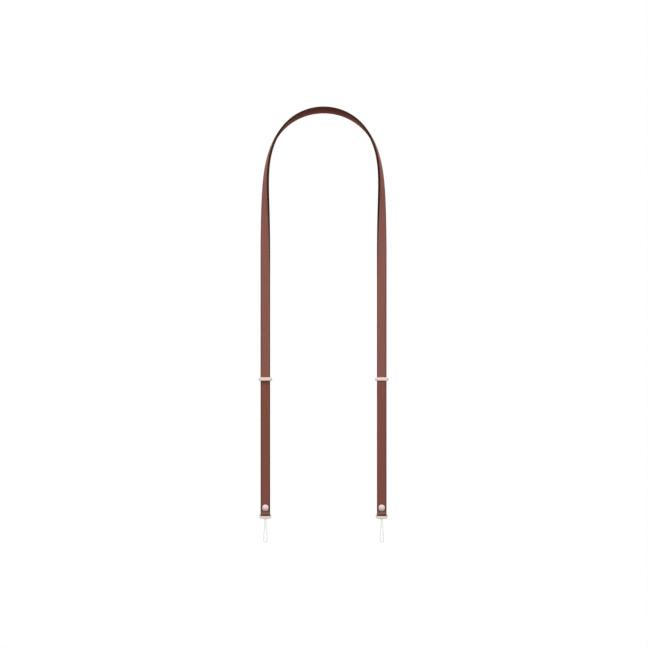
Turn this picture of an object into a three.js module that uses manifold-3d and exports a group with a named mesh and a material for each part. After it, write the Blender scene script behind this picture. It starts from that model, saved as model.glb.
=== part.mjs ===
// Phone crossbody strap: two woven bands that lie on each other, two sliders that join them, and at
// each lower end a slotted ring, a stud that holds the band's fold shut, and a cord loop.
// Units are millimetres, +Z is up, and -Y is the side that faces away from the wearer.
// The origin is where the strap rests on a shoulder: the middle of the inner band's inner face, at
// the top of the arch. The strap keeps the form in which it hangs.
import * as THREE from "three";
import { mergeVertices } from "three/addons/utils/BufferGeometryUtils.js";
import Module from "manifold-3d";

const wasm = await Module();
wasm.setup();

// ---------------------------------------------------------------- fineness
const MERGE_DISTANCE = 1e-4;
const CURVE_SEGMENTS = 4; // half the number of straight pieces in a plate's rounded corner
const ROUND_SIDES = 24; // of what is turned on a lathe
const DOME_STEPS = 5;
const ROUTE_STEP = 1; // in adding up the strap's route
const TWIST_STEP = 3; // between a band's cross-sections where it bends or rolls

// ---------------------------------------------------------------- driving dimensions
const GAP = 0.3; // left between pieces that touch
const BAND = { width: 13, thickness: 1.25 };
const LAYER_PITCH = BAND.thickness + GAP; // from the middle of one band to the middle of the other
const STACK = BAND.thickness + LAYER_PITCH; // both bands together

// The route of the doubled strap, by distance along it from the top of the arch. Angles in degrees.
const ROUTE = {
  steadyTurn: 36.8, // as far as here it turns downwards at a steady rate
  turnEnd: 200.3, // here the turn has died away and the leg goes straight down
  topTip: 32.5, // the outer face at the top is tipped this far towards the back
  tipEnd: 101, // and from here no longer
  rollStart: 49, // from here the strap rolls about its own length
  rollEnd: 314, // until its outer face looks straight to the front
  leanPeak: 22, // the most that the route leans towards the front
  leanEnd: 177, // and where it has stopped leaning
};

// Heights below the origin.
const DROP = { slider: 373.2, stud: 551.6, foldUnderside: 562.5 };

const SLIDER = { width: 19, height: 5.3, wall: 1.1, edge: 0.7, edgeSteps: 3 };
const BAND_END_INSET = 0.8; // how far above its slider's lower edge a band ends

const RING = {
  width: 16.5,
  thickness: 1.8,
  cornerRadius: 3,
  topBar: 1.3,
  bottomBar: 3.85,
  slotCorner: 0.5,
  edge: 0.4,
  edgeSteps: 2,
};
// The oval collar under the ring. The cord's two ends go into an oval socket in it.
const COLLAR = { width: 3.9, thickness: 2.2, height: 1.7, below: 0.3 };

// A band's end runs round the ring's top bar, past upright, and back to lie on its own leg.
const FOLD = { overTurn: 40, easeRadius: 3, tailAboveStud: 7.5, arcStep: 15 };
const FOLD_RADIUS = RING.thickness / 2 + GAP + BAND.thickness / 2;

const STUD = {
  capRadius: 4.6,
  capRim: 0.5, // height of the cap's upright rim
  capHeight: 1.6,
  shankRadius: 1.8,
  backRadius: 3.8,
  backThickness: 0.9,
};

// One strand of a cord loop: how far the cord's middle is to the side, at each depth under the collar.
const CORD = { diameter: 1, sides: 8, steps: 28 };
const LOOP_STRAND = [
  { side: 0.78, depth: -0.2 },
  { side: 0.8, depth: 2 },
  { side: 0.88, depth: 5 },
  { side: 1.02, depth: 8.5 },
  { side: 1.25, depth: 12 },
  { side: 1.6, depth: 15.4 },
  { side: 2, depth: 18.6 },
  { side: 2.25, depth: 21.8 },
  { side: 2.36, depth: 24.4 },
  { side: 2.28, depth: 27 },
  { side: 2.05, depth: 29.4 },
  { side: 1.56, depth: 31.15 },
  { side: 0.86, depth: 31.75 },
];
const LOOP_BOTTOM_DEPTH = 31.9;

// ---------------------------------------------------------------- materials
const webbing = new THREE.MeshStandardMaterial({ color: "#8b5c50", roughness: 0.85 });
const steel = new THREE.MeshStandardMaterial({ color: "#ddd0ca", roughness: 0.35, metalness: 1 });
const cordCover = new THREE.MeshStandardMaterial({ color: "#f2f1ec", roughness: 0.8 });

// ---------------------------------------------------------------- solids
function solidOf(geometry) {
  const bare = geometry.clone();
  bare.deleteAttribute("normal");
  bare.deleteAttribute("uv");
  const merged = mergeVertices(bare, MERGE_DISTANCE);
  return new wasm.Manifold(
    new wasm.Mesh({
      numProp: 3,
      vertProperties: merged.attributes.position.array,
      triVerts: new Uint32Array(merged.index.array),
    }),
  );
}

function geometryOf(solid) {
  const { vertProperties, triVerts } = solid.getMesh();
  const geometry = new THREE.BufferGeometry();
  geometry.setAttribute("position", new THREE.BufferAttribute(vertProperties, 3));
  geometry.setIndex(new THREE.BufferAttribute(triVerts, 1));
  const faceted = geometry.toNonIndexed();
  faceted.computeVertexNormals();
  return faceted;
}

function named(name, geometry, material) {
  const mesh = new THREE.Mesh(geometry, material);
  mesh.name = name;
  return mesh;
}

// A shape in the X-Z plane, given thickness along Y, centred on y = 0, with rounded edges.
function plate(shape, thickness, edge, edgeSteps) {
  const geometry = new THREE.ExtrudeGeometry(shape, {
    depth: thickness - 2 * edge,
    curveSegments: CURVE_SEGMENTS,
    bevelEnabled: true,
    bevelThickness: edge,
    bevelSize: edge,
    bevelOffset: -edge,
    bevelSegments: edgeSteps,
  });
  geometry.translate(0, 0, edge - thickness / 2);
  geometry.rotateX(Math.PI / 2);
  return geometry;
}

function roundedRectangle(width, low, high, radius, path = new THREE.Shape()) {
  const half = width / 2;
  path.moveTo(radius - half, low);
  path.absarc(half - radius, low + radius, radius, -Math.PI / 2, 0);
  path.absarc(half - radius, high - radius, radius, 0, Math.PI / 2);
  path.absarc(radius - half, high - radius, radius, Math.PI / 2, Math.PI);
  path.absarc(radius - half, low + radius, radius, Math.PI, 1.5 * Math.PI);
  return path;
}

// ---------------------------------------------------------------- the strap's route
const clamp01 = (t) => THREE.MathUtils.clamp(t, 0, 1);
const ease = (t) => (1 - Math.cos(Math.PI * clamp01(t))) / 2;

// The way the strap runs and the way its outer face looks, on the right half.
function directionsAt(distance) {
  const fade = ROUTE.turnEnd - ROUTE.steadyTurn;
  const faded = clamp01((distance - ROUTE.steadyTurn) / fade);
  const turned =
    Math.min(distance, ROUTE.steadyTurn) +
    fade * (faded / 2 + Math.sin(Math.PI * faded) / (2 * Math.PI));
  const turn = ((Math.PI / 2) * turned) / (ROUTE.steadyTurn + fade / 2);

  const v = clamp01(distance / ROUTE.leanEnd);
  const humpPeak = 0.64 / Math.sqrt(5); // the highest value of v (1 - v²)²
  const lean = (THREE.MathUtils.degToRad(ROUTE.leanPeak) * v * (1 - v * v) ** 2) / humpPeak;

  const tip = THREE.MathUtils.degToRad(ROUTE.topTip) * (1 - ease(distance / ROUTE.tipEnd));
  const rolled = ease((distance - ROUTE.rollStart) / (ROUTE.rollEnd - ROUTE.rollStart));
  const roll = (Math.PI / 2) * rolled - tip;

  const outwards = new THREE.Vector3(Math.sin(turn), 0, Math.cos(turn));
  const backwards = new THREE.Vector3(
    Math.cos(turn) * Math.sin(lean),
    Math.cos(lean),
    -Math.sin(turn) * Math.sin(lean),
  );
  return {
    along: backwards.clone().cross(outwards),
    face: outwards.multiplyScalar(Math.cos(roll)).addScaledVector(backwards, -Math.sin(roll)),
  };
}

// A station is a point in the middle of the doubled strap, with the way it runs and its outer face.
// Distance counts from the top, along the right leg if positive and along the left leg if negative.
function stationAt(distance) {
  const way = Math.abs(distance);
  const point = directionsAt(0).face.multiplyScalar(STACK / 2);
  const steps = Math.ceil(way / ROUTE_STEP);
  for (let i = 0; i < steps; i++) {
    const step = way / steps;
    point.addScaledVector(directionsAt((i + 0.5) * step).along, step);
  }
  const { along, face } = directionsAt(way);
  if (distance < 0) {
    point.x *= -1;
    face.x *= -1;
    along.y *= -1;
    along.z *= -1;
  }
  return { point, along, face };
}

const LEG = stationAt(ROUTE.rollEnd).point; // the right leg where it has become straight and flat
const distanceAt = (height) => ROUTE.rollEnd + LEG.z - height;

// Where a band of the given layer has its middle: -1 is the inner layer and +1 the outer one.
const layerY = (layer) => LEG.y - (layer * LAYER_PITCH) / 2;

// ---------------------------------------------------------------- bands
// A path with its own stations, so that the band's section keeps its face where the strap has it.
class BandPath extends THREE.Curve {
  constructor(stations) {
    super();
    this.stations = stations;
  }
  getSpacedPoints() {
    return this.stations.map((station) => station.point);
  }
  computeFrenetFrames() {
    return {
      tangents: this.stations.map((station) => station.along),
      normals: this.stations.map((station) => station.face),
      binormals: this.stations.map((station) => station.along.clone().cross(station.face)),
    };
  }
}

const foldHeight = -DROP.foldUnderside + FOLD_RADIUS + BAND.thickness / 2;

// The route of a fold, in the plane of Y and Z: arcs and straight runs, one after another.
function foldRoute() {
  const over = THREE.MathUtils.degToRad(FOLD.overTurn);
  const drawnIn = (FOLD_RADIUS + FOLD.easeRadius) * (1 - Math.cos(over));
  const slant = (2 * FOLD_RADIUS - LAYER_PITCH - drawnIn) / Math.sin(over);
  const closed =
    foldHeight + (FOLD_RADIUS + FOLD.easeRadius) * Math.sin(over) + slant * Math.cos(over);
  return [
    { turn: 180 + FOLD.overTurn, radius: FOLD_RADIUS },
    { run: slant },
    { turn: -FOLD.overTurn, radius: FOLD.easeRadius },
    { run: FOLD.tailAboveStud - DROP.stud - closed },
  ];
}

function foldStations(start) {
  const stations = [];
  const point = start.clone();
  let heading = 0; // from straight down, turning towards the back
  const go = (length, bearing) => {
    point.y += length * Math.sin(bearing);
    point.z -= length * Math.cos(bearing);
  };
  const mark = () => {
    stations.push({
      point: point.clone(),
      along: new THREE.Vector3(0, Math.sin(heading), -Math.cos(heading)),
      face: new THREE.Vector3(0, -Math.cos(heading), -Math.sin(heading)),
    });
  };
  mark();
  for (const { turn, radius, run } of foldRoute()) {
    if (run) {
      go(run, heading);
      mark();
      continue;
    }
    const steps = Math.ceil(Math.abs(turn) / FOLD.arcStep);
    const bend = THREE.MathUtils.degToRad(turn) / steps;
    for (let i = 0; i < steps; i++) {
      go(2 * radius * Math.sin(Math.abs(bend) / 2), heading + bend / 2);
      heading += bend;
      mark();
    }
  }
  return stations;
}

// A band runs from its slider on the left leg, over the top, to its folded end on the right leg.
function bandStations(layer) {
  const first = -distanceAt(-DROP.slider - SLIDER.height / 2 + BAND_END_INSET);
  const reach = Math.ceil(ROUTE.rollEnd / TWIST_STEP) * TWIST_STEP;
  const distances = [first];
  for (let distance = -reach; distance <= reach; distance += TWIST_STEP) {
    distances.push(distance);
  }
  const stations = distances.map((distance) => {
    const station = stationAt(distance);
    station.point.addScaledVector(station.face, (layer * LAYER_PITCH) / 2);
    return station;
  });
  const foldStart = new THREE.Vector3(LEG.x, layerY(layer), foldHeight);
  return stations.concat(foldStations(foldStart));
}

// side is +1 where the folded end is on the right leg and -1 where the band is its mirror image.
function band(name, layer, side) {
  const stations = bandStations(layer);
  if (side < 0) {
    for (const { point, along, face } of stations) {
      point.x *= -1;
      along.x *= -1;
      face.x *= -1;
    }
  }
  const halfThick = BAND.thickness / 2;
  const halfWide = BAND.width / 2;
  const section = new THREE.Shape([
    new THREE.Vector2(-halfThick, -halfWide),
    new THREE.Vector2(halfThick, -halfWide),
    new THREE.Vector2(halfThick, halfWide),
    new THREE.Vector2(-halfThick, halfWide),
  ]);
  const ribbon = new THREE.ExtrudeGeometry(section, {
    steps: stations.length - 1,
    extrudePath: new BandPath(stations),
  });
  const holeRadius = STUD.shankRadius + GAP;
  const holeLength = 2 * (LAYER_PITCH + BAND.thickness);
  const hole = new THREE.CylinderGeometry(holeRadius, holeRadius, holeLength, ROUND_SIDES);
  hole.translate(side * LEG.x, layerY(layer), -DROP.stud);
  return named(name, geometryOf(solidOf(ribbon).subtract(solidOf(hole))), webbing);
}

// ---------------------------------------------------------------- metal pieces
function slider(name, side) {
  const outline = roundedRectangle(
    SLIDER.width,
    -SLIDER.height / 2,
    SLIDER.height / 2,
    SLIDER.height / 2,
  );
  const slotDepth = STACK + 2 * GAP;
  const body = plate(outline, slotDepth + 2 * SLIDER.wall, SLIDER.edge, SLIDER.edgeSteps);
  const slot = new THREE.BoxGeometry(BAND.width + 2 * GAP, slotDepth, 2 * SLIDER.height);
  const mesh = named(name, geometryOf(solidOf(body).subtract(solidOf(slot))), steel);
  mesh.position.set(side * LEG.x, LEG.y, -DROP.slider);
  return mesh;
}

// Heights in the ring, from the middle of the fold round its top bar.
const slotHigh = BAND.thickness / 2 + GAP - FOLD_RADIUS;
const barTop = slotHigh + RING.topBar;
const slotLow = -FOLD_RADIUS - BAND.thickness / 2 - GAP;
const ringLow = slotLow - RING.bottomBar;
const collarLow = ringLow - COLLAR.below;
const ringY = (layer) => layerY(layer) + FOLD_RADIUS;

// An upright block with an oval section: straight in the middle, with half-round ends.
function oval(width, thickness, height) {
  const shape = new THREE.Shape();
  const straight = (width - thickness) / 2;
  shape.absarc(straight, 0, thickness / 2, -Math.PI / 2, Math.PI / 2);
  shape.absarc(-straight, 0, thickness / 2, Math.PI / 2, 1.5 * Math.PI);
  return new THREE.ExtrudeGeometry(shape, {
    depth: height,
    bevelEnabled: false,
    curveSegments: CURVE_SEGMENTS,
  });
}

function endRing(name, layer, side) {
  const outline = roundedRectangle(RING.width, ringLow, barTop, RING.cornerRadius);
  const slot = roundedRectangle(
    BAND.width + 2 * GAP,
    slotLow,
    slotHigh,
    RING.slotCorner,
    new THREE.Path(),
  );
  outline.holes.push(slot);
  const ring = plate(outline, RING.thickness, RING.edge, RING.edgeSteps);

  const collar = oval(COLLAR.width, COLLAR.thickness, COLLAR.height);
  collar.translate(0, 0, collarLow);

  const strandEnd = LOOP_STRAND[0];
  const strands = 2 * strandEnd.side + CORD.diameter;
  const socketDepth = GAP - strandEnd.depth;
  const socket = oval(strands + 2 * GAP, CORD.diameter + 2 * GAP, 2 * socketDepth);
  socket.translate(0, 0, collarLow - socketDepth);
  const solid = solidOf(ring).add(solidOf(collar)).subtract(solidOf(socket));
  const mesh = named(name, geometryOf(solid), steel);
  mesh.position.set(side * LEG.x, ringY(layer), foldHeight);
  return mesh;
}

// A stud turned about Y: its cap in front, a shank through both layers, and a disc behind them.
function stud(name, layer, side) {
  const capBack = -BAND.thickness / 2 - GAP;
  const capFront = capBack - STUD.capHeight;
  const backFront = LAYER_PITCH + BAND.thickness / 2 + GAP;
  const domeHeight = STUD.capHeight - STUD.capRim;
  const ball = (STUD.capRadius ** 2 + domeHeight ** 2) / (2 * domeHeight); // what the dome is part of
  const profile = [];
  for (let i = 0; i <= DOME_STEPS; i++) {
    const radius = (STUD.capRadius * i) / DOME_STEPS;
    profile.push([radius, capFront + ball - Math.sqrt(ball ** 2 - radius ** 2)]);
  }
  profile.push(
    [STUD.capRadius, capBack],
    [STUD.shankRadius, capBack],
    [STUD.shankRadius, backFront],
    [STUD.backRadius, backFront],
    [STUD.backRadius, backFront + STUD.backThickness],
    [0, backFront + STUD.backThickness],
  );
  const points = profile.map(([radius, y]) => new THREE.Vector2(radius, y));
  const mesh = named(name, new THREE.LatheGeometry(points, ROUND_SIDES), steel);
  mesh.position.set(side * LEG.x, layerY(layer), -DROP.stud);
  return mesh;
}

// ---------------------------------------------------------------- cords
function cordLoop(name, layer, side) {
  const strand = (sign) =>
    LOOP_STRAND.map((row) => new THREE.Vector3(sign * row.side, 0, -row.depth));
  const bottom = new THREE.Vector3(0, 0, -LOOP_BOTTOM_DEPTH);
  const route = new THREE.CatmullRomCurve3([...strand(-1), bottom, ...strand(1).reverse()]);
  const section = new THREE.Shape();
  section.absarc(0, 0, CORD.diameter / 2, 0, 2 * Math.PI);
  const tube = new THREE.ExtrudeGeometry(section, {
    steps: CORD.steps,
    curveSegments: CORD.sides / 2,
    extrudePath: route,
  });
  const mesh = named(name, tube, cordCover);
  mesh.position.set(side * LEG.x, ringY(layer), foldHeight + collarLow);
  return mesh;
}

// ---------------------------------------------------------------- assembly
const strap = new THREE.Group();
const LAYERS = [
  { layer: -1, side: -1, bandName: "inner_band", end: "left" },
  { layer: 1, side: 1, bandName: "outer_band", end: "right" },
];
for (const { layer, side, bandName, end } of LAYERS) {
  strap.add(
    band(bandName, layer, side),
    slider(`slider_${end}`, side),
    endRing(`end_ring_${end}`, layer, side),
    stud(`stud_${end}`, layer, side),
    cordLoop(`cord_loop_${end}`, layer, side),
  );
}

export default strap;
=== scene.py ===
import math

import bmesh
import bpy
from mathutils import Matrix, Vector


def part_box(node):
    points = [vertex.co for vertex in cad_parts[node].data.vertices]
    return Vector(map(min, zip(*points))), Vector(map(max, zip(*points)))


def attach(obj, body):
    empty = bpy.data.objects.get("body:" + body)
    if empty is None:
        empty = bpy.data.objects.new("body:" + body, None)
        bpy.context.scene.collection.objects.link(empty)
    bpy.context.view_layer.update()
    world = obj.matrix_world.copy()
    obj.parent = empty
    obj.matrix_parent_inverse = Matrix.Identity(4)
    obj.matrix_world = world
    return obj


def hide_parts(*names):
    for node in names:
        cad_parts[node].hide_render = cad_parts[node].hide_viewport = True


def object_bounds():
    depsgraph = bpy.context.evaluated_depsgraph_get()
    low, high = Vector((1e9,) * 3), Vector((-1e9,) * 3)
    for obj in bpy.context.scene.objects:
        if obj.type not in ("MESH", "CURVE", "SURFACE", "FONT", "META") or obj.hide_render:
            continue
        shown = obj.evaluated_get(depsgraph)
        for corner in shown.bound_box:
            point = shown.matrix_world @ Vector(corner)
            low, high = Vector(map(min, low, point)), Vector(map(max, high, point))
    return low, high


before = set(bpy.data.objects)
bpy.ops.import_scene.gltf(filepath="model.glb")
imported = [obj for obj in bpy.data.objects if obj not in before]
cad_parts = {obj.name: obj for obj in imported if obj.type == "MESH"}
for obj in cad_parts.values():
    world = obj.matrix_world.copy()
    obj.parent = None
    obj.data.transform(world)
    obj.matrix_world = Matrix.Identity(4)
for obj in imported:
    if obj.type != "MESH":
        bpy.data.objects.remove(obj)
cad_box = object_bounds()

# A phone crossbody strap: two woven bands that lie on each other, two sliders that join them, and at
# each lower end a slotted ring, a stud that holds the band's fold shut, and a cord loop.
# +Z is up, and -Y is the side that faces away from the wearer. Sizes are in metres.

# ---------------------------------------------------------------- sizes
MM = 0.001
GAP = 0.3 * MM  # between pieces that touch
MERGE_DISTANCE = 0.001 * MM

BAND_WIDTH = 13 * MM
BAND_THICKNESS = 1.25 * MM
SELVEDGE_DEPTH = 0.25 * MM  # how far a selvedge's rounding reaches in from the side
SELVEDGE_STEP = 15  # degrees
FACE_COLUMNS = 8
LAYER_PITCH = BAND_THICKNESS + GAP  # from the middle of one band to the middle of the other
NAP = 0.13 * MM  # how far the soft yarns stand out all round
BOW = 0.7 * MM  # at the top a band's two edges hang this much lower than its middle
STACK = BAND_THICKNESS + LAYER_PITCH  # both bands together

# The route of the doubled strap, by distance along it from the top of the arch. Angles in degrees.
STEADY_TURN = 36.8 * MM  # as far as here it turns downwards at a steady rate
TURN_END = 200.3 * MM  # here the turn has died away and the leg goes straight down
TOP_TIP = 32.5  # the outer face at the top is tipped this far towards the back
TIP_END = 101 * MM  # and from here no longer
ROLL_START = 49 * MM  # from here the strap rolls about its own length
ROLL_END = 314 * MM  # until its outer face looks straight to the front
LEAN_PEAK = 22  # the most that the route leans towards the front
LEAN_END = 177 * MM  # and where it has stopped leaning
ROUTE_STEP = 1 * MM  # in adding up the route
STATION_STEPS = 2  # a band has a cross-section after every so many steps

BAND_END_INSET = 0.8 * MM  # how far above its slider's lower edge a band ends
TAIL_ABOVE_STUD = 7.5 * MM  # the other end, behind its leg
FOLD_OVER_TURN = 40  # how far past upright a fold goes before it comes back to its leg, in degrees
FOLD_EASE_RADIUS = 3 * MM
FOLD_ARC_STEP = 6  # degrees
FOLD_LIFT = 0.05 * MM  # between a fold and the ring's lower bar

SLIDER_WALL = 1.1 * MM
SLIDER_EDGE = 0.95 * MM
SLOT_CLEARANCE = 0.15 * MM  # between a slider and the webbing in it

RING_THICKNESS = 1.8 * MM
RING_CORNER = 3 * MM
RING_TOP_BAR = 1.3 * MM
RING_EDGE = 0.45 * MM
RING_SLOT_CORNER = 0.5 * MM
FOLD_RADIUS = RING_THICKNESS / 2 + GAP + BAND_THICKNESS / 2

COLLAR_WIDTH = 3.9 * MM
COLLAR_THICKNESS = 2.2 * MM
COLLAR_HEIGHT = 1.7 * MM
COLLAR_BELOW = 0.3 * MM  # how far the cord's collar stands out under its ring
COLLAR_EDGE = 0.2 * MM
SOCKET_WIDTH = 2.8 * MM  # the socket is in the collar's underside
SOCKET_THICKNESS = 1.3 * MM
SOCKET_DEPTH = 0.28 * MM

CAP_RADIUS = 4.6 * MM
CAP_RIM = 0.5 * MM  # height of the cap's upright rim
CAP_HEIGHT = 1.6 * MM
DOME_STEPS = 12  # from the cap's rim to its middle
GROOVE_STEP = 5  # after this step a fine ring is pressed into the dome
GROOVE_WIDTH = 0.3 * MM
GROOVE_DEPTH = 0.12 * MM
SHANK_RADIUS = 1.8 * MM
SHANK_CLEARANCE = 0.15 * MM  # between a shank and the webbing round it
BACK_RADIUS = 3.8 * MM
BACK_THICKNESS = 0.9 * MM
BACK_RINGS = [
    # what is pressed into the back disc, from its edge: inwards, deeper
    (0.25 * MM, 0),
    (1.3 * MM, 0),
    (0.3 * MM, 0.35 * MM),
]

# One strand of a cord loop: how far its middle is to the side, at each depth under the collar.
CORD_DIAMETER = 1 * MM
CORD_TURN_STEP = 30  # degrees
LOOP_STRAND = [
    # side, depth, in millimetres
    (0.78, -0.2),
    (0.8, 2),
    (0.88, 5),
    (1.02, 8.5),
    (1.25, 12),
    (1.6, 15.4),
    (2.0, 18.6),
    (2.25, 21.8),
    (2.36, 24.4),
    (2.28, 27),
    (2.05, 29.4),
    (1.56, 31.15),
    (0.86, 31.75),
]
LOOP_BOTTOM_DEPTH = 31.9

UP, DOWN = Vector((0, 0, 1)), Vector((0, 0, -1))
FRONT, BACK = Vector((0, -1, 0)), Vector((0, 1, 0))
SURFACE_MAP = "across and along"  # the UV map of what is woven or braided, in metres


def middle(node):
    low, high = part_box(node)
    return (low + high) / 2


# ---------------------------------------------------------------- camera
def set_up_camera():
    """A long lens level with the middle of the strap, square to its legs."""
    camera = bpy.data.objects.new("camera", bpy.data.cameras.new("camera"))
    bpy.context.collection.objects.link(camera)
    legs = middle("slider_right")
    distance = 7.5
    view_width = 0.8975  # of what it sees at the legs
    aim_x, aim_z = 0.62 * MM, -296.9 * MM
    camera.data.lens = camera.data.sensor_width * distance / view_width
    camera.data.clip_end = 200
    camera.location = (aim_x, legs.y - distance, aim_z)
    camera.rotation_euler = (math.radians(90), 0, 0)
    bpy.context.scene.camera = camera


set_up_camera()


# ---------------------------------------------------------------- finishing and sweeping
def activate(piece):
    for other in bpy.context.selected_objects:
        other.select_set(False)
    piece.select_set(True)
    bpy.context.view_layer.objects.active = piece


def finished(piece, node, sharp_from=35):
    """Smooths a piece, up to edges of so many degrees, and puts it in its node's place."""
    activate(piece)
    bpy.ops.object.shade_smooth_by_angle(angle=math.radians(sharp_from))
    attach(piece, "root")
    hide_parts(node)
    return piece


def sweep(name, stations, outline, measures):
    """A closed solid of an outline carried along stations of (point, along, face, slackness). The
    outline is a function of the slackness. In the UV map u is the measure given for each corner of
    the outline, and v the way along."""
    verts, lengths = [], [0.0]
    for point, along, face, slackness in stations:
        across = along.cross(face)
        verts += [point + face * out + across * over for out, over in outline(slackness)]
    for before, after in zip(stations, stations[1:]):
        lengths.append(lengths[-1] + (after[0] - before[0]).length)
    count = len(measures) - 1
    corners = []  # of each face, as (station, corner of the outline)
    for i in range(len(stations) - 1):
        for j in range(count):
            corners.append([(i, j), (i, j + 1), (i + 1, j + 1), (i + 1, j)])
    corners.append([(0, j) for j in reversed(range(count))])
    corners.append([(len(stations) - 1, j) for j in range(count)])

    mesh = bpy.data.meshes.new(name)
    mesh.from_pydata(verts, [], [[i * count + j % count for i, j in face] for face in corners])
    layer = mesh.uv_layers.new(name=SURFACE_MAP)
    places = [corner for face in corners for corner in face]
    for loop, (i, j) in zip(layer.data, places):
        loop.uv = (measures[j], lengths[i])
    piece = bpy.data.objects.new(name, mesh)
    bpy.context.collection.objects.link(piece)
    return piece


# ---------------------------------------------------------------- cords
def flowing(points, per_span):
    """A smooth line through points, which at each runs the way from the one before to the one after."""
    line = []
    ends = [points[0] * 2 - points[1], *points, points[-1] * 2 - points[-2]]
    for a, b, c, d in zip(ends, ends[1:], ends[2:], ends[3:]):
        for i in range(per_span):
            t = i / per_span
            line.append(
                b
                + (c - a) * (t / 2)
                + (a * 2 - b * 5 + c * 4 - d) * (t * t / 2)
                + (b * 3 - a - c * 3 + d) * (t**3 / 2)
            )
    return [*line, points[-1]]


def cord_loop(end):
    """A loop of fine cord: out of the collar, down, round the bottom and back up."""
    top = middle(f"end_ring_{end}")
    top.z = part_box(f"end_ring_{end}")[0].z
    strand = [Vector((side, 0, -depth)) * MM for side, depth in LOOP_STRAND]
    mirrored = [Vector((-point.x, 0, point.z)) for point in strand]
    bottom = Vector((0, 0, -LOOP_BOTTOM_DEPTH * MM))
    path = [top + point for point in flowing([*mirrored, bottom, *reversed(strand)], 4)]
    stations = []
    for i, point in enumerate(path):
        ahead = path[min(i + 1, len(path) - 1)] - path[max(i - 1, 0)]
        stations.append((point, ahead.normalized(), FRONT, 0))
    radius = CORD_DIAMETER / 2
    turns = [math.radians(a) for a in range(0, 361, CORD_TURN_STEP)]
    circle = [(radius * math.cos(a), radius * math.sin(a)) for a in turns[:-1]]
    piece = sweep(f"cord_{end}", stations, lambda _: circle, [radius * a for a in turns])
    finished(piece, f"cord_loop_{end}", 50)
    return piece


cords = [cord_loop(end) for end in ("left", "right")]


# ---------------------------------------------------------------- shaping by hand
def opened(name):
    """Names the new primitive, puts its place and turn into its mesh, and opens it for editing."""
    piece = bpy.context.object
    piece.name = piece.data.name = name
    activate(piece)
    bpy.ops.object.transform_apply(location=True, rotation=True, scale=True)
    bpy.ops.object.mode_set(mode="EDIT")
    return piece


def closed():
    """Ends the editing of a solid, with its faces pointing out."""
    bpy.ops.mesh.select_all(action="SELECT")
    bpy.ops.mesh.remove_doubles(threshold=MERGE_DISTANCE)
    bpy.ops.mesh.normals_make_consistent(inside=False)
    bpy.ops.object.mode_set(mode="OBJECT")


def choose(kind, wanted):
    """Selects just the "FACE", "EDGE" or "VERT" parts that pass a test."""
    bpy.ops.mesh.select_mode(type=kind)
    bpy.ops.mesh.select_all(action="DESELECT")
    data = bpy.context.object.data
    mesh = bmesh.from_edit_mesh(data)
    for part in {"FACE": mesh.faces, "EDGE": mesh.edges, "VERT": mesh.verts}[kind]:
        if wanted(part):
            part.select_set(True)
    bmesh.update_edit_mesh(data)


SQUARE_ON = 0.999  # from this cosine on, a face counts as looking along a direction


def facing(direction):
    return lambda face: face.normal.dot(direction) > SQUARE_ON


def rim_of(direction):
    """A test for the edges round the faces that look along a direction or against it."""

    def test(edge):
        level = [abs(face.normal.dot(direction)) > SQUARE_ON for face in edge.link_faces]
        return len(level) == 2 and level[0] != level[1]

    return test


def bevel_rims(direction, width, segments):
    choose("EDGE", rim_of(direction))
    bpy.ops.mesh.bevel(offset=width, segments=segments, affect="EDGES")


def pull_apart(centre, reach):
    """Moves the right half to the right and the left half to the left, so that a round gets long."""
    for side in (-1, 1):
        choose("VERT", lambda vert: (vert.co.x - centre.x) * side > 0)
        bpy.ops.transform.translate(value=(side * reach, 0, 0))


def step(offset):
    """Carries the selected faces on by an offset, with a wall behind them."""
    bpy.ops.mesh.extrude_region()
    bpy.ops.transform.translate(value=offset)


def step_to_size(centre, factors):
    """Carries the selected faces to another size where they are, with a flat ring round them."""
    bpy.ops.mesh.extrude_region()
    bpy.ops.transform.resize(value=factors, center_override=centre)


def combine(piece, tool, operation):
    """Joins a tool's solid to the piece or cuts it out. The tool is used up."""
    activate(piece)
    change = piece.modifiers.new(operation.lower(), "BOOLEAN")
    change.operation = operation
    change.object = tool
    change.solver = "EXACT"
    bpy.ops.object.modifier_apply(modifier=change.name)
    bpy.data.objects.remove(tool, do_unlink=True)


# ---------------------------------------------------------------- the strap's route
def ease(t):
    return (1 - math.cos(math.pi * min(max(t, 0), 1))) / 2


def directions_at(distance):
    """The way the strap runs and the way its outer face looks, on the right half."""
    fade = TURN_END - STEADY_TURN
    faded = min(max((distance - STEADY_TURN) / fade, 0), 1)
    eased = faded / 2 + math.sin(math.pi * faded) / (2 * math.pi)
    turned = min(distance, STEADY_TURN) + fade * eased
    turn = math.pi / 2 * turned / (STEADY_TURN + fade / 2)

    v = min(distance / LEAN_END, 1)
    hump_peak = 0.64 / math.sqrt(5)  # the highest value of v * (1 - v * v) ** 2
    lean = math.radians(LEAN_PEAK) * v * (1 - v * v) ** 2 / hump_peak

    tip = math.radians(TOP_TIP) * (1 - ease(distance / TIP_END))
    roll = math.pi / 2 * ease((distance - ROLL_START) / (ROLL_END - ROLL_START)) - tip

    outwards = Vector((math.sin(turn), 0, math.cos(turn)))
    backwards = Vector(
        (
            math.cos(turn) * math.sin(lean),
            math.cos(lean),
            -math.sin(turn) * math.sin(lean),
        )
    )
    along = backwards.cross(outwards)
    return along, outwards * math.cos(roll) - backwards * math.sin(roll)


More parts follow.
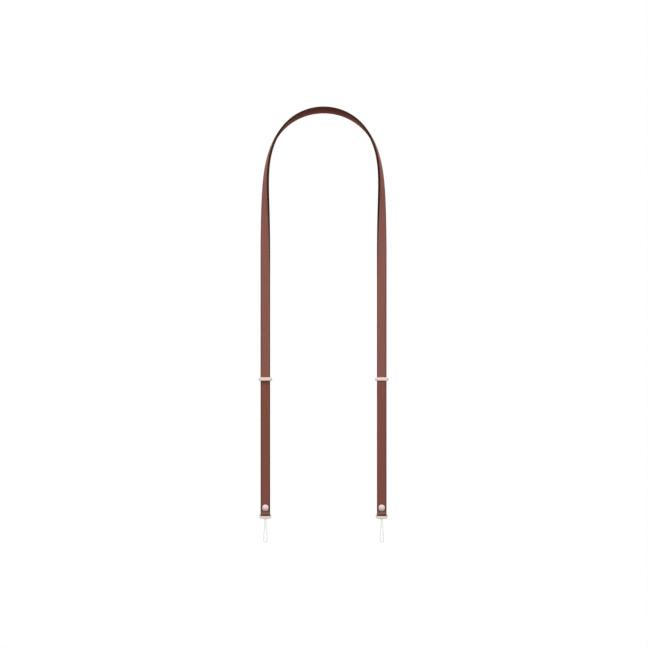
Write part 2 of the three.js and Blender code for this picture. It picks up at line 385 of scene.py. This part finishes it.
def walk_route():
    """Stations of the doubled strap's middle on the right half, from the top to where the leg is flat.
    The last part of a station is how slack the strap is: 1 in the arch, and 0 in the flat leg."""
    point = directions_at(0)[1] * (STACK / 2)
    stations = [(point, *directions_at(0), 1)]
    for i in range(round(ROLL_END / ROUTE_STEP)):
        distance = (i + 1) * ROUTE_STEP
        point = point + directions_at(distance - ROUTE_STEP / 2)[0] * ROUTE_STEP
        slackness = min(1, 2 - 2 * ease(distance / ROLL_END))
        stations.append((point, *directions_at(distance), slackness))
    return stations[::STATION_STEPS]


def on_the_left(station):
    """A station of the right half, mirrored, where the strap still runs from left to right."""
    point, along, face, slackness = station
    return (
        Vector((-point.x, point.y, point.z)),
        Vector((along.x, -along.y, -along.z)),
        Vector((-face.x, face.y, face.z)),
        slackness,
    )


route = walk_route()
leg = route[-1][0]  # the right leg where it has become straight and flat


# ---------------------------------------------------------------- bands
def fold_stations(start):
    """From in front of a ring's bar: round under it, past upright, and back to lie on the leg."""
    over = math.radians(FOLD_OVER_TURN)
    drawn_in = (FOLD_RADIUS + FOLD_EASE_RADIUS) * (1 - math.cos(over))
    slant = (2 * FOLD_RADIUS - LAYER_PITCH - drawn_in) / math.sin(over)
    rise = (FOLD_RADIUS + FOLD_EASE_RADIUS) * math.sin(over) + slant * math.cos(over)
    tail = middle("stud_right").z + TAIL_ABOVE_STUD - start.z - rise
    point, heading = start.copy(), 0
    stations = []

    def go(length, bearing):
        point.y += length * math.sin(bearing)
        point.z -= length * math.cos(bearing)

    def mark():
        along = Vector((0, math.sin(heading), -math.cos(heading)))
        face = Vector((0, -math.cos(heading), -math.sin(heading)))
        stations.append((point.copy(), along, face, 0))

    mark()
    for turn, reach in [
        (180 + FOLD_OVER_TURN, FOLD_RADIUS),
        (0, slant),
        (-FOLD_OVER_TURN, FOLD_EASE_RADIUS),
        (0, tail),
    ]:
        steps = math.ceil(abs(turn) / FOLD_ARC_STEP)
        for _ in range(steps):
            bend = math.radians(turn) / steps
            go(2 * reach * math.sin(abs(bend) / 2), heading + bend / 2)
            heading += bend
            mark()
        if not steps:
            go(reach, heading)
            mark()
    return stations


def band_stations(layer):
    """From the left slider, over the top, to a folded end on the right leg."""
    left = [on_the_left(station) for station in reversed(route[1:])]
    first = left[0][0].copy()
    first.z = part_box("slider_left")[0].z + BAND_END_INSET
    whole = [(first, *left[0][1:]), *left, *route]
    stations = [(p + face * (layer * LAYER_PITCH / 2), along, face, s) for p, along, face, s in whole]
    bar_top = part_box("outer_band")[0].z - GAP
    fold_z = bar_top + FOLD_LIFT + NAP + BAND_THICKNESS / 2 + FOLD_RADIUS
    ring = middle("end_ring_right" if layer > 0 else "end_ring_left")
    start = Vector((leg.x, ring.y - FOLD_RADIUS, fold_z))
    return stations + fold_stations(start)


def band_outline(slackness):
    """A band's section, as points of (out of the face, across). Where the band is slack it bows: its
    middle goes outwards by 0.8 of the bow, and its sides come in by the rest."""
    thick = BAND_THICKNESS / 2 + NAP
    side = BAND_WIDTH / 2 + NAP
    flat = side - SELVEDGE_DEPTH
    half = [(thick, flat * (2 * i / FACE_COLUMNS - 1)) for i in range(FACE_COLUMNS)]
    for a in range(0, 180, SELVEDGE_STEP):
        turn = math.radians(a)
        half.append((thick * math.cos(turn), flat + SELVEDGE_DEPTH * math.sin(turn)))
    whole = half + [(-out, -across) for out, across in half]
    bow = BOW * slackness
    return [(out + bow * (0.8 - (across / side) ** 2), across) for out, across in whole]


def band(node, layer, side):
    """The webbing of a band. Its folded end is on the right where side is 1, or else on the left."""
    stations = band_stations(layer)
    if side < 0:
        stations = [
            (Vector((-p.x, p.y, p.z)), Vector((-a.x, a.y, a.z)), Vector((-f.x, f.y, f.z)), s)
            for p, a, f, s in stations
        ]
    forward = [point[1] * side for point in band_outline(0)]  # towards the arch's front edge
    piece = sweep(f"{node}_webbing", stations, band_outline, [*forward, forward[0]])
    bpy.ops.mesh.primitive_cylinder_add(
        vertices=48,
        radius=SHANK_RADIUS + SHANK_CLEARANCE,
        depth=4 * STACK,
        location=middle("stud_right" if side > 0 else "stud_left"),
        rotation=(math.pi / 2, 0, 0),
    )
    punch = opened("punch")
    closed()
    combine(piece, punch, "DIFFERENCE")
    return finished(piece, node, 50)


bands = [band("inner_band", -1, -1), band("outer_band", 1, 1)]


# ---------------------------------------------------------------- sliders
def slider(end):
    """A long block with round ends, hollowed into a loop that holds both bands."""
    low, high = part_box(f"slider_{end}")
    size, centre = high - low, (low + high) / 2
    sides = 48
    half_side = math.pi / sides  # turned by half a side, so that its top and bottom are flat
    bpy.ops.mesh.primitive_cylinder_add(
        vertices=sides,
        radius=size.z / 2,
        depth=size.y,
        location=centre,
        rotation=(math.pi / 2, half_side, 0),
    )
    piece = opened(f"slider_loop_{end}")
    pull_apart(centre, (size.x - size.z) / 2)
    bevel_rims(FRONT, SLIDER_EDGE, 5)

    flat_width = size.x - size.z + size.z * math.sin(half_side)
    flat_depth = size.y - 2 * SLIDER_EDGE
    mouth_width = BAND_WIDTH + 2 * SLOT_CLEARANCE
    mouth_depth = size.y - 2 * SLIDER_WALL
    wide = mouth_width * MM  # the area of a strip 1 mm deep: the top and bottom faces have more
    choose("FACE", lambda face: abs(face.normal.z) > SQUARE_ON and face.calc_area() > wide)
    step_to_size(centre, (mouth_width / flat_width, mouth_depth / flat_depth, 1))
    mesh = bmesh.from_edit_mesh(piece.data)
    mouths = [face for face in mesh.faces if face.select]
    mouth_edges = [edge for face in mouths for edge in face.edges]
    bmesh.ops.delete(mesh, geom=mouths, context="FACES_ONLY")
    for edge in mouth_edges:
        edge.select_set(True)
    bmesh.update_edit_mesh(piece.data)
    bpy.ops.mesh.select_mode(type="EDGE")
    bpy.ops.mesh.bridge_edge_loops()
    closed()
    return finished(piece, f"slider_{end}")


sliders = [slider(end) for end in ("left", "right")]


# ---------------------------------------------------------------- end rings
def rounded_outline(width, low_z, high_z, corner, centre):
    """Adds the edges of a rounded rectangle that stands across the strap."""
    place = (centre.x, centre.y, (low_z + high_z) / 2)
    bpy.ops.mesh.primitive_plane_add(size=1, location=place, rotation=(math.pi / 2, 0, 0))
    bpy.ops.transform.resize(value=(width, 1, high_z - low_z), center_override=place)
    bpy.ops.mesh.bevel(offset=corner, segments=10, affect="VERTICES")
    bpy.ops.mesh.delete(type="ONLY_FACE")


def collar_with_socket(centre, underside):
    """The oval collar that a cord's two ends go into from below."""
    sides = 48
    bpy.ops.mesh.primitive_cylinder_add(
        vertices=sides,
        radius=COLLAR_THICKNESS / 2,
        depth=COLLAR_HEIGHT,
        location=(centre.x, centre.y, underside + COLLAR_HEIGHT / 2),
        rotation=(0, 0, math.pi / sides),  # half a side, so that its front is flat
    )
    collar = opened("collar")
    pull_apart(centre, (COLLAR_WIDTH - COLLAR_THICKNESS) / 2)
    bevel_rims(UP, COLLAR_EDGE, 3)
    choose("FACE", facing(DOWN))
    flat_width = COLLAR_WIDTH - 2 * COLLAR_EDGE
    flat_thickness = COLLAR_THICKNESS - 2 * COLLAR_EDGE
    step_to_size(centre, (SOCKET_WIDTH / flat_width, SOCKET_THICKNESS / flat_thickness, 1))
    step((0, 0, SOCKET_DEPTH))
    closed()
    return collar


def end_ring(end):
    """A flat ring with a wide lower bar, and a collar under it for the cord."""
    low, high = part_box(f"end_ring_{end}")
    centre = (low + high) / 2
    slot_high = high.z - RING_TOP_BAR
    slot_low = slot_high - (BAND_THICKNESS + 2 * GAP)
    bpy.ops.mesh.primitive_plane_add(size=1, location=centre)
    piece = opened(f"slotted_ring_{end}")
    bpy.ops.mesh.delete(type="VERT")
    rounded_outline(high.x - low.x, low.z + COLLAR_BELOW, high.z, RING_CORNER, centre)
    rounded_outline(BAND_WIDTH + 2 * GAP, slot_low, slot_high, RING_SLOT_CORNER, centre)
    bpy.ops.mesh.select_all(action="SELECT")
    bpy.ops.mesh.bridge_edge_loops()
    bpy.ops.mesh.select_all(action="SELECT")
    bpy.ops.transform.translate(value=FRONT * (RING_THICKNESS / 2))
    step(BACK * RING_THICKNESS)
    bpy.ops.mesh.select_all(action="SELECT")
    bpy.ops.mesh.normals_make_consistent(inside=False)
    bevel_rims(FRONT, RING_EDGE, 4)
    closed()
    combine(piece, collar_with_socket(centre, low.z), "UNION")
    finished(piece, f"end_ring_{end}")
    # Its flat faces keep their own normals, so that the edges' rounding doesn't shade across them.
    level = piece.modifiers.new("level faces", "WEIGHTED_NORMAL")
    level.keep_sharp = True
    bpy.ops.object.modifier_apply(modifier=level.name)
    return piece


rings = [end_ring(end) for end in ("left", "right")]


# ---------------------------------------------------------------- studs
def press_rings(rings):
    """Presses the selected round face in, ring by ring: each goes inwards and deeper."""
    for inwards, deeper in rings:
        bpy.ops.mesh.inset(thickness=inwards, depth=-deeper)


def stud(end):
    """A low domed cap with a fine ring pressed into it, a shank, and a disc behind the webbing."""
    low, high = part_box(f"stud_{end}")
    centre = (low + high) / 2
    cap_back = low.y + CAP_HEIGHT
    bpy.ops.mesh.primitive_cylinder_add(
        vertices=72,
        radius=CAP_RADIUS,
        depth=CAP_RIM,
        location=(centre.x, cap_back - CAP_RIM / 2, centre.z),
        rotation=(math.pi / 2, 0, 0),
    )
    piece = opened(f"snap_stud_{end}")
    choose("FACE", facing(FRONT))
    dome_height = CAP_HEIGHT - CAP_RIM
    ball = (CAP_RADIUS**2 + dome_height**2) / (2 * dome_height)  # the radius that the dome is part of
    inset = CAP_RADIUS / DOME_STEPS
    radii = [CAP_RADIUS - inset * i for i in range(DOME_STEPS)]
    depths = [ball - math.sqrt(ball**2 - radius**2) for radius in radii]
    for i, (a, b) in enumerate(zip(depths, depths[1:])):
        press_rings([(inset, b - a)])
        if i == GROOVE_STEP:
            half = GROOVE_WIDTH / 2
            press_rings([(half, GROOVE_DEPTH), (half, -GROOVE_DEPTH)])

    choose("FACE", facing(BACK))
    bpy.ops.mesh.inset(thickness=CAP_RADIUS - SHANK_RADIUS)
    step(BACK * (high.y - BACK_THICKNESS - cap_back))
    widening = BACK_RADIUS / SHANK_RADIUS
    step_to_size(centre, (widening, 1, widening))
    step(BACK * BACK_THICKNESS)
    press_rings(BACK_RINGS)
    closed()
    return finished(piece, f"stud_{end}")


studs = [stud(end) for end in ("left", "right")]


# ---------------------------------------------------------------- material tools
def linear(hex_colour):
    """The linear colour of an sRGB hex value."""
    channels = [int(hex_colour[i : i + 2], 16) / 255 for i in (1, 3, 5)]
    return (*[c / 12.92 if c <= 0.04045 else ((c + 0.055) / 1.055) ** 2.4 for c in channels], 1)


def add(tree, kind, inputs=None, **settings):
    """Adds a node. An input given a socket is linked to it, and any other is set."""
    made = tree.nodes.new(f"ShaderNode{kind}")
    for name, value in settings.items():
        setattr(made, name, value)
    for name, value in (inputs or {}).items():
        if isinstance(value, bpy.types.NodeSocket):
            tree.links.new(value, made.inputs[name])
        else:
            made.inputs[name].default_value = value
    return made


def new_material(name):
    material = bpy.data.materials.new(name)
    material.use_nodes = True
    tree = material.node_tree
    return material, tree, tree.nodes["Principled BSDF"].inputs


def calculate(tree, operation, *values):
    return add(tree, "Math", dict(enumerate(values)), operation=operation).outputs[0]


def vector(tree, x, y, z=0.0):
    return add(tree, "CombineXYZ", {"X": x, "Y": y, "Z": z}).outputs[0]


def ranged(tree, value, low, high, to_low=0.0, to_high=1.0):
    """Takes a value smoothly from one range to another."""
    inputs = {"Value": value, 1: low, 2: high, 3: to_low, 4: to_high}
    return add(tree, "MapRange", inputs, interpolation_type="SMOOTHSTEP").outputs[0]


def blended(tree, factor, first, second, blend="MIX"):
    inputs = {0: factor, 6: first, 7: second}
    return add(tree, "Mix", inputs, data_type="RGBA", blend_type=blend).outputs[2]


def half_waves(tree, value):
    """0 at each whole number, and 1 half-way between them."""
    wave = calculate(tree, "SINE", calculate(tree, "MULTIPLY", value, math.pi))
    return calculate(tree, "ABSOLUTE", wave)


def in_millimetres(tree):
    """The two measures of what is woven or braided: across or round it, and along it."""
    metres = add(tree, "UVMap", uv_map=SURFACE_MAP).outputs["UV"]
    scaled = add(tree, "VectorMath", {0: metres, "Scale": 1 / MM}, operation="SCALE")
    parts = add(tree, "SeparateXYZ", {0: scaled.outputs[0]})
    return parts.outputs["X"], parts.outputs["Y"]


def give(pieces, material):
    for piece in pieces:
        piece.data.materials.clear()
        piece.data.materials.append(material)


# ---------------------------------------------------------------- webbing
# Across and along it, from its middle, in millimetres.
FLOAT_WIDTH, FLOAT_LENGTH = 0.55, 1.5  # of the yarn where it shows
SELVEDGE_FROM, SELVEDGE_TO = 4.9, 6.4  # it gets darker from the first to the second
PAINTED_LIGHT_FROM, PAINTED_LIGHT_TO = 1.0, -4.5  # painted light makes the arch lighter from the first to the second, towards the back

ARCH_LOW, ARCH_HIGH = -60 * MM, -30 * MM  # between these heights the legs turn into the arch
STUD_SHADOW_REACH = 1.8 * MM  # how far round a stud's cap the painted shadow reaches
HIGHLIGHT_ABOVE = 0.5 * MM  # the middle of the painted highlight, above the ring
HIGHLIGHT_REACH = 2.4 * MM  # and how far it goes each way


def dyed_yarn_and_painted_shade(tree, across, along, height):
    """The yarns' streaks, because they take the dye a little differently, and their colour, painted a
    shade darker below the sliders.
    """
    streak_place = vector(
        tree,
        calculate(tree, "MULTIPLY", across, 0.45),
        calculate(tree, "MULTIPLY", along, 0.03),
    )
    streaks = add(tree, "TexNoise", {"Vector": streak_place, "Scale": 1.0, "Detail": 3.0}).outputs[0]
    colour = blended(tree, streaks, linear("#86564c"), linear("#966257"))

    # Below the sliders, where only one band runs, the colour is painted a shade darker and redder:
    # painted shade.
    sliders_at = middle("slider_right").z
    shade_below_sliders = ranged(tree, height, sliders_at - 8 * MM, sliders_at, 1.0, 0.0)
    return streaks, blended(tree, shade_below_sliders, colour, (0.86, 0.76, 0.70, 1), "MULTIPLY")


def herringbone(tree, across, along):
    """How high the yarns stand. Each float bulges, and from column to column they are a third of a
    float further on, mirrored about the middle. Half of that is spread over the float's own width,
    which makes its ends slant."""
    column = calculate(tree, "DIVIDE", across, FLOAT_WIDTH)
    column_middle = calculate(tree, "ADD", calculate(tree, "FLOOR", column), 0.5)
    in_steps = calculate(tree, "ABSOLUTE", column_middle)
    slanting = calculate(tree, "ABSOLUTE", column)
    stagger = calculate(tree, "DIVIDE", calculate(tree, "ADD", in_steps, slanting), 6.0)
    row = calculate(tree, "ADD", calculate(tree, "DIVIDE", along, FLOAT_LENGTH), stagger)
    bulge = calculate(tree, "MULTIPLY", half_waves(tree, column), half_waves(tree, row))
    float_height = calculate(tree, "POWER", bulge, 0.5)
    filament_place = vector(tree, calculate(tree, "MULTIPLY", across, 9.0), along)
    filaments = add(tree, "TexNoise", {"Vector": filament_place, "Scale": 1.0}).outputs[0]
    return calculate(tree, "MULTIPLY_ADD", filaments, 0.35, float_height)


def with_selvedges(tree, colour, across, height):
    """They are darker towards the sides. At the arch's back edge that darkening is left off, and
    painted light makes the webbing lighter there.
    """
    in_arch = ranged(tree, height, ARCH_LOW, ARCH_HIGH)
    at_back = ranged(tree, across, PAINTED_LIGHT_TO, PAINTED_LIGHT_FROM, 1.0, 0.0)
    # Painted light: the back edge of the arch is made lighter.
    back_edge_light = calculate(tree, "MULTIPLY", in_arch, at_back)
    colour = blended(tree, back_edge_light, colour, (1.5, 1.5, 1.45, 1), "MULTIPLY")
    near_side = ranged(tree, calculate(tree, "ABSOLUTE", across), SELVEDGE_FROM, SELVEDGE_TO)
    selvedge = calculate(tree, "MULTIPLY", near_side, calculate(tree, "SUBTRACT", 1.0, back_edge_light))
    return blended(tree, selvedge, colour, linear("#34160b"))


def painted_shadow_and_highlight(tree, colour, sideways, height):
    """A painted shadow round each stud, and a painted highlight where a fold starts, at its ring."""
    stud_at = middle("stud_right")
    beside_stud = calculate(tree, "SUBTRACT", calculate(tree, "ABSOLUTE", sideways), stud_at.x)
    over_stud = calculate(tree, "MULTIPLY", calculate(tree, "SUBTRACT", height, stud_at.z), 1.25)
    to_stud = vector(tree, beside_stud, over_stud)
    distance = add(tree, "VectorMath", {0: to_stud}, operation="LENGTH").outputs["Value"]
    # Painted shadow: the webbing is darker round each stud's cap.
    pressed = ranged(tree, distance, CAP_RADIUS, CAP_RADIUS + STUD_SHADOW_REACH, 0.78, 0.0)
    colour = blended(tree, pressed, colour, (0, 0, 0, 1))

    # Painted highlight: paler where the fold stands out over the ring's top bar.
    fold_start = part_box("end_ring_right")[1].z + HIGHLIGHT_ABOVE
    from_fold = calculate(tree, "ABSOLUTE", calculate(tree, "SUBTRACT", height, fold_start))
    fold_highlight = ranged(tree, from_fold, 0.3 * MM, HIGHLIGHT_REACH, 0.12, 0.0)
    return blended(tree, fold_highlight, colour, linear("#b8b9b9"))


def woven_polyester():
    """Dyed polyester webbing: matt, with fine floats of yarn and painted shade between them. The
    floats are drawn a little wider than they are, so that they show."""
    material, tree, surface = new_material("woven polyester webbing")
    across, along = in_millimetres(tree)
    place = add(tree, "TexCoord").outputs["Object"]
    sideways, _, height = add(tree, "SeparateXYZ", {"Vector": place}).outputs
    streaks, colour = dyed_yarn_and_painted_shade(tree, across, along, height)
    yarn_height = herringbone(tree, across, along)
    # Painted shade and light: darker where the yarns lie low between the floats, a little lighter on
    # their tops.
    depth_shade = ranged(tree, yarn_height, 0.2, 1.1, 0.7, 1.08)
    shade = add(tree, "CombineColor", {i: depth_shade for i in range(3)})
    colour = blended(tree, 1.0, colour, shade.outputs[0], "MULTIPLY")
    colour = with_selvedges(tree, colour, across, height)
    colour = painted_shadow_and_highlight(tree, colour, sideways, height)
    tree.links.new(colour, surface["Base Color"])
    tree.links.new(ranged(tree, streaks, 0.3, 0.7, 0.55, 0.7), surface["Roughness"])
    bump = add(tree, "Bump", {"Height": yarn_height, "Strength": 0.7, "Distance": 0.16 * MM})
    tree.links.new(bump.outputs[0], surface["Normal"])
    surface["Specular IOR Level"].default_value = 0.22
    return material


# ---------------------------------------------------------------- metal
def satin_nickel():
    """Nickel-plated steel, tumbled to a satin finish: its highlights are soft and a little warm."""
    material, tree, surface = new_material("satin nickel-plated steel")
    place = add(tree, "TexCoord").outputs["Object"]
    grain = add(tree, "TexNoise", {"Vector": place, "Scale": 2500.0, "Detail": 2.0}).outputs[0]
    smudges = add(tree, "TexNoise", {"Vector": place, "Scale": 220.0, "Detail": 2.0}).outputs[0]
    colour = blended(tree, smudges, linear("#e4d5cf"), linear("#ebded9"))
    tree.links.new(colour, surface["Base Color"])
    tree.links.new(ranged(tree, smudges, 0.3, 0.7, 0.2, 0.3), surface["Roughness"])
    bump = add(tree, "Bump", {"Height": grain, "Strength": 0.15, "Distance": 0.03 * MM})
    tree.links.new(bump.outputs[0], surface["Normal"])
    surface["Metallic"].default_value = 1.0
    return material


# ---------------------------------------------------------------- cord
def braided_cord():
    """Undyed polyester cord, braided of eight strands that cross in small diamonds."""
    material, tree, surface = new_material("braided polyester cord")
    around, along = in_millimetres(tree)
    strands = 4  # that lie side by side each way round
    crossing = 0.9  # how far apart the strands cross, along the cord
    turns = calculate(tree, "MULTIPLY", around, 2 * strands / (CORD_DIAMETER / MM))
    run = calculate(tree, "MULTIPLY", along, 2 * math.pi / crossing)
    one_way = calculate(tree, "SINE", calculate(tree, "ADD", turns, run))
    other_way = calculate(tree, "SINE", calculate(tree, "SUBTRACT", turns, run))
    height = calculate(tree, "MAXIMUM", one_way, other_way)
    # Painted shade and light: the braid is darker where the strands lie low, lighter on their tops.
    shade = ranged(tree, height, -0.6, 0.6)
    colour = blended(tree, shade, linear("#dde0dc"), linear("#f4f7f3"))
    tree.links.new(colour, surface["Base Color"])
    tree.links.new(ranged(tree, height, -1, 1, 0.9, 0.7), surface["Roughness"])
    bump = add(tree, "Bump", {"Height": height, "Strength": 0.35, "Distance": 0.06 * MM})
    tree.links.new(bump.outputs[0], surface["Normal"])
    surface["Sheen Weight"].default_value = 0.2
    return material


give(bands, woven_polyester())
give([*sliders, *rings, *studs], satin_nickel())
give(cords, braided_cord())


# ---------------------------------------------------------------- floor and light
def matt_floor_paint():
    """Pale matt paint, rolled on a little unevenly."""
    material, tree, surface = new_material("pale matt floor paint")
    place = add(tree, "TexCoord").outputs["Object"]
    rolled = add(tree, "TexNoise", {"Vector": place, "Scale": 1.5, "Detail": 3.0}).outputs[0]
    colour = blended(tree, rolled, linear("#f4f4f3"), linear("#fafaf9"))
    tree.links.new(colour, surface["Base Color"])
    surface["Roughness"].default_value = 0.9
    return material


def lay_floor():
    """A plain floor far below the strap, at the feet of someone who would wear it."""
    floor_size, floor_height = 16, -1.35
    bpy.ops.mesh.primitive_plane_add(size=floor_size, location=(0, 0, floor_height))
    floor = bpy.context.object
    floor.name = "floor"
    floor.visible_diffuse = floor.visible_glossy = False
    give([floor], matt_floor_paint())


def faded_by_height(tree, height, stops):
    """A colour that changes with height, from 0 straight down to 1 straight up."""
    fade = add(tree, "ValToRGB", {"Fac": height})
    elements = fade.color_ramp.elements
    for position, _ in stops[1:-1]:
        elements.new(position)
    for element, (_, shade) in zip(elements, stops):
        element.color = (*shade, 1)
    return fade.outputs[0]


def soft_studio():
    """White to the eye. Its light comes from above, and metal reflects tall white screens."""
    world = bpy.data.worlds.new("soft studio")
    bpy.context.scene.world = world
    world.use_nodes = True
    tree = world.node_tree
    direction = add(tree, "TexCoord").outputs["Generated"]
    parts = add(tree, "SeparateXYZ", {0: direction}).outputs
    height = calculate(tree, "MULTIPLY_ADD", parts["Z"], 0.5, 0.5)
    light = [
        (0, (0.11, 0.04, 0.025)),
        (0.325, (0.26, 0.13, 0.085)),
        (0.5, (0.88, 0.86, 0.84)),
        (0.75, (1.0, 1.0, 1.0)),
        (1, (1.0, 1.0, 1.0)),
    ]
    screens = [
        (0, (0.25, 0.19, 0.17)),
        (0.13, (0.40, 0.35, 0.33)),
        (0.36, (0.74, 0.71, 0.70)),
        (0.49, (0.94, 0.91, 0.90)),
        (0.57, (1.14, 1.10, 1.08)),
        (1, (1.16, 1.12, 1.10)),
    ]
    screen_edge, past_screen = 0.58, 0.88  # sideways, where 1 is straight to one side
    beside = ranged(tree, calculate(tree, "ABSOLUTE", parts["X"]), screen_edge, past_screen)
    dark_room = (0.16, 0.165, 0.18, 1)
    reflected = blended(tree, beside, faded_by_height(tree, height, screens), dark_room)
    ray = add(tree, "LightPath").outputs
    seen = blended(tree, ray["Is Glossy Ray"], faded_by_height(tree, height, light), reflected)
    seen = blended(tree, ray["Is Camera Ray"], seen, (1, 1, 1, 1))
    tree.links.new(seen, tree.nodes["Background"].inputs["Color"])


def hang_light(name, elevation, azimuth, distance, size, power):
    """A square soft light that looks at the middle of the strap. Azimuth 0 is straight in front."""
    lamp = bpy.data.lights.new(name, "AREA")
    lamp.size = size
    lamp.energy = power
    light = bpy.data.objects.new(name, lamp)
    bpy.context.collection.objects.link(light)
    up, round_it = math.radians(elevation), math.radians(azimuth)
    towards = Vector(
        (
            math.sin(round_it) * math.cos(up),
            -math.cos(round_it) * math.cos(up),
            math.sin(up),
        )
    )
    low, high = cad_box
    light.location = (Vector(low) + Vector(high)) / 2 + towards * distance
    light.rotation_euler = towards.to_track_quat("Z", "Y").to_euler()
    light.visible_camera = light.visible_glossy = False


lay_floor()
soft_studio()
hang_light("overhead_softbox", elevation=60, azimuth=-3, distance=3, size=1.2, power=60)
bpy.context.scene.view_settings.view_transform = "Standard"
